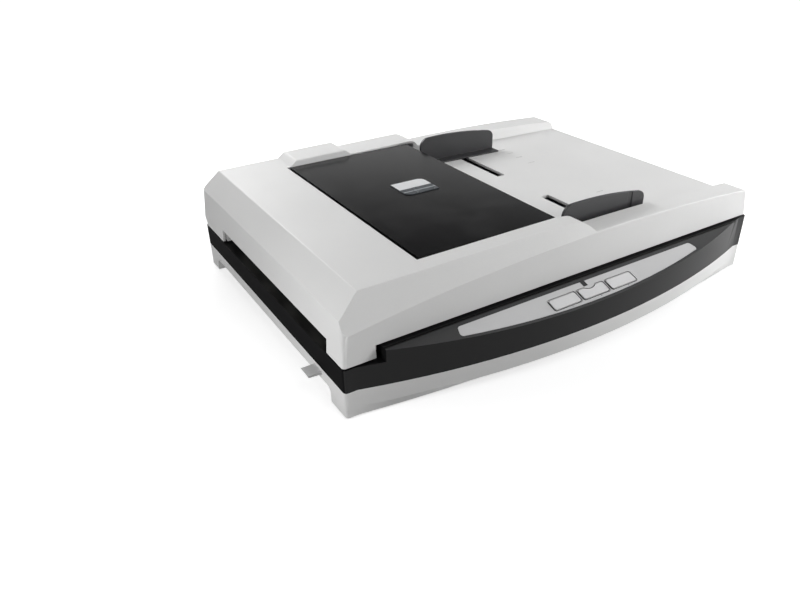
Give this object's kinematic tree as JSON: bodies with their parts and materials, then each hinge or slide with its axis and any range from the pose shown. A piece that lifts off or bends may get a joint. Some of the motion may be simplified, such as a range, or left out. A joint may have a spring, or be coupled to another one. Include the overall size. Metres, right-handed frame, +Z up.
{
  "type": "document scanner",
  "caption": "Flatbed document scanner with a hinged lid that holds a sheet feeder, a sunk sheet tray with two side guides, a bowed dark front band and a lens-shaped button panel.",
  "frame": {"origin": "middle of the bounding box's footprint, on the surface that the feet stand on", "axes": "+X to the right along the casing, seen from the control panel; +Y to the rear; +Z up"},
  "size_m": [0.467, 0.3496, 0.1092],
  "materials": {
    "casing_white": "satin off-white",
    "underside_white": "satin off-white",
    "base_white": "satin light grey",
    "frame_black": "satin charcoal",
    "glass": "clear float glass",
    "strip_white": "matte white",
    "panel_grey": "satin grey",
    "button_grey": "satin light grey",
    "light_lens": "clear moulded plastic",
    "circuit_board": "solder resist",
    "carriage_black": "matte black",
    "bush_bronze": "sintered bronze",
    "lens_black": "gloss black",
    "lamp_white": "diffuse white",
    "polished_steel": "ground steel",
    "gear_plastic": "natural acetal",
    "belt_rubber": "matte black",
    "bracket_steel": "zinc plated",
    "motor_steel": "plated steel",
    "pinion_brass": "turned brass",
    "socket_metal": "plated steel",
    "socket_black": "matte black",
    "rocker_black": "gloss black",
    "foot_rubber": "matte black",
    "screw_steel": "zinc plated",
    "tab_grey": "satin grey",
    "socket_white": "satin light grey",
    "pad_white": "soft white facing",
    "hinge_grey": "plated steel",
    "leg_grey": "satin dark grey",
    "cover_black": "satin black",
    "badge_grey": "satin silver grey",
    "bed_black": "matte black",
    "pad_rubber": "matte brown",
    "roller_rubber": "matte dark grey",
    "exit_plastic": "matte dark grey",
    "arm_grey": "satin grey",
    "guide_grey": "satin dark grey"
  },
  "bodies": {
    "base": {"base_tray": "base_white", "upper_frame": "frame_black", "platen_glass": "glass", "feed_glass": "glass", "calibration_strip": "strip_white", "control_panel": "panel_grey", "status_light": "light_lens", "button_board": "circuit_board", "guide_rod": "polished_steel", "rod_clips": "gear_plastic", "drive_belt": "belt_rubber", "belt_brackets": "bracket_steel", "scan_motor": "motor_steel", "main_board": "circuit_board", "usb_socket": "socket_metal", "power_jack": "socket_black", "power_switch": "socket_black", "feet": "foot_rubber", "base_screws": "screw_steel", "exit_tab": "tab_grey", "hinge_sockets": "socket_white"},
    "left_button": {"button_left": "button_grey"},
    "middle_button": {"button_middle": "button_grey"},
    "right_button": {"button_right": "button_grey"},
    "carriage": {"carriage_shell": "carriage_black", "carriage_bushes": "bush_bronze", "sensor_board": "circuit_board", "lens_array": "lens_black", "scan_lamp": "lamp_white", "scan_glass": "glass"},
    "belt_drive": {"drive_pulley": "gear_plastic"},
    "belt_idler": {"idler_pulley": "gear_plastic"},
    "scan_pinion": {"motor_pinion": "pinion_brass"},
    "rocker": {"power_rocker": "rocker_black"},
    "legs": {"hinge_legs": "leg_grey"},
    "lid": {"lid_casing": "casing_white", "lid_underside": "underside_white", "platen_pad": "pad_white", "lid_screws": "screw_steel", "hinge_leaves": "hinge_grey", "feed_bed": "bed_black", "separation_pad": "pad_rubber", "window_plate": "strip_white", "feeder_belt": "belt_rubber", "feed_motor": "motor_steel"},
    "cover": {"feeder_cover": "cover_black", "badge_plate": "badge_grey"},
    "feed_roller": {"feed_shaft": "polished_steel", "feed_rollers": "roller_rubber"},
    "transport_roller": {"transport_shaft": "polished_steel", "transport_rollers": "roller_rubber"},
    "exit_roller": {"exit_shaft": "exit_plastic"},
    "idler_gear": {"feed_idler_gear": "gear_plastic"},
    "feed_motor_pinion": {"feed_pinion": "pinion_brass"},
    "arm": {"pick_arm": "arm_grey", "pick_belt": "belt_rubber"},
    "pick": {"pick_roller": "roller_rubber"},
    "front_sheet_guide": {"front_guide": "guide_grey"},
    "rear_sheet_guide": {"rear_guide": "guide_grey"},
    "guide_gear": {"guide_pinion": "gear_plastic"}
  },
  "joints": [
    {"name": "left_button_press", "type": "slide", "parent": "base", "child": "left_button", "axis": [0, 0.3219, -0.9468], "range_m": [0, 0.0008], "stiffness_N_per_m": 400, "springref_m": -0.001},
    {"name": "middle_button_press", "type": "slide", "parent": "base", "child": "middle_button", "axis": [0, 0.3219, -0.9468], "range_m": [0, 0.0008], "stiffness_N_per_m": 400, "springref_m": -0.001},
    {"name": "right_button_press", "type": "slide", "parent": "base", "child": "right_button", "axis": [0, 0.3219, -0.9468], "range_m": [0, 0.0008], "stiffness_N_per_m": 400, "springref_m": -0.001},
    {"name": "carriage_slide", "type": "slide", "parent": "base", "child": "carriage", "axis": [1, 0, 0], "range_m": [0, 0.32]},
    {"name": "drive_pulley_spin", "type": "hinge", "parent": "base", "child": "belt_drive", "pos_m": [0.1665, 0.02075, 0.02], "axis": [0, 0, 1], "continuous": true},
    {"name": "idler_pulley_spin", "type": "hinge", "parent": "base", "child": "belt_idler", "pos_m": [-0.1975, 0.02075, 0.018], "axis": [0, 0, 1], "continuous": true},
    {"name": "motor_pinion_spin", "type": "hinge", "parent": "base", "child": "scan_pinion", "pos_m": [0.1857, 0.02075, 0.026], "axis": [0, 0, 1], "continuous": true},
    {"name": "power_rocker_tip", "type": "hinge", "parent": "base", "child": "rocker", "pos_m": [0.1215, 0.17075, 0.0135], "axis": [-1, 0, 0], "range_deg": [0, 14]},
    {"name": "hinge_lift", "type": "slide", "parent": "base", "child": "legs", "axis": [0, 0, 1], "range_m": [0, 0.012]},
    {"name": "lid_open", "type": "hinge", "parent": "legs", "child": "lid", "pos_m": [0.006, 0.16675, 0.054], "axis": [-1, 0, 0], "range_deg": [0, 75]},
    {"name": "cover_open", "type": "hinge", "parent": "lid", "child": "cover", "pos_m": [-0.13, -0.00025, 0.0975], "axis": [0, -1, 0], "range_deg": [0, 75]},
    {"name": "feed_roller_spin", "type": "hinge", "parent": "lid", "child": "feed_roller", "pos_m": [-0.0815, -0.00025, 0.082], "axis": [0, 1, 0], "continuous": true},
    {"name": "transport_roller_spin", "type": "hinge", "parent": "lid", "child": "transport_roller", "pos_m": [-0.1315, -0.00025, 0.06772], "axis": [0, 1, 0], "continuous": true},
    {"name": "exit_roller_spin", "type": "hinge", "parent": "lid", "child": "exit_roller", "pos_m": [-0.2065, -0.00025, 0.0574], "axis": [0, 1, 0], "continuous": true},
    {"name": "idler_gear_spin", "type": "hinge", "parent": "lid", "child": "idler_gear", "pos_m": [-0.1065, 0.12375, 0.07486], "axis": [0, 1, 0], "continuous": true},
    {"name": "feed_pinion_spin", "type": "hinge", "parent": "lid", "child": "feed_motor_pinion", "pos_m": [-0.06864, 0.12375, 0.06668], "axis": [0, 1, 0], "continuous": true},
    {"name": "pick_arm_lift", "type": "hinge", "parent": "lid", "child": "arm", "pos_m": [-0.0815, -0.00025, 0.082], "axis": [0, -1, 0], "range_deg": [0, 4]},
    {"name": "pick_roller_spin", "type": "hinge", "parent": "arm", "child": "pick", "pos_m": [-0.0495, -0.00025, 0.0884], "axis": [0, 1, 0], "continuous": true},
    {"name": "front_guide_slide", "type": "slide", "parent": "lid", "child": "front_sheet_guide", "axis": [0, 1, 0], "range_m": [0, 0.068]},
    {"name": "rear_guide_slide", "type": "slide", "parent": "lid", "child": "rear_sheet_guide", "axis": [0, 1, 0], "range_m": [-0.068, 0]},
    {"name": "guide_pinion_spin", "type": "hinge", "parent": "lid", "child": "guide_gear", "pos_m": [0.0635, -0.00025, 0.07], "axis": [0, 0, 1], "continuous": true}
  ],
  "couplings": [
    {"joint": "drive_pulley_spin", "follows": "carriage_slide", "rad_per_m": 149.25},
    {"joint": "idler_pulley_spin", "follows": "carriage_slide", "rad_per_m": 149.25},
    {"joint": "motor_pinion_spin", "follows": "carriage_slide", "rad_per_m": -447.76},
    {"joint": "transport_roller_spin", "follows": "feed_roller_spin", "ratio": 1},
    {"joint": "exit_roller_spin", "follows": "feed_roller_spin", "ratio": 1},
    {"joint": "idler_gear_spin", "follows": "feed_roller_spin", "ratio": -1.1667},
    {"joint": "feed_pinion_spin", "follows": "feed_roller_spin", "ratio": -2.3333},
    {"joint": "pick_roller_spin", "follows": "feed_roller_spin", "ratio": 1},
    {"joint": "rear_guide_slide", "follows": "front_guide_slide", "ratio": -1},
    {"joint": "guide_pinion_spin", "follows": "front_guide_slide", "rad_per_m": -125}
  ]
}
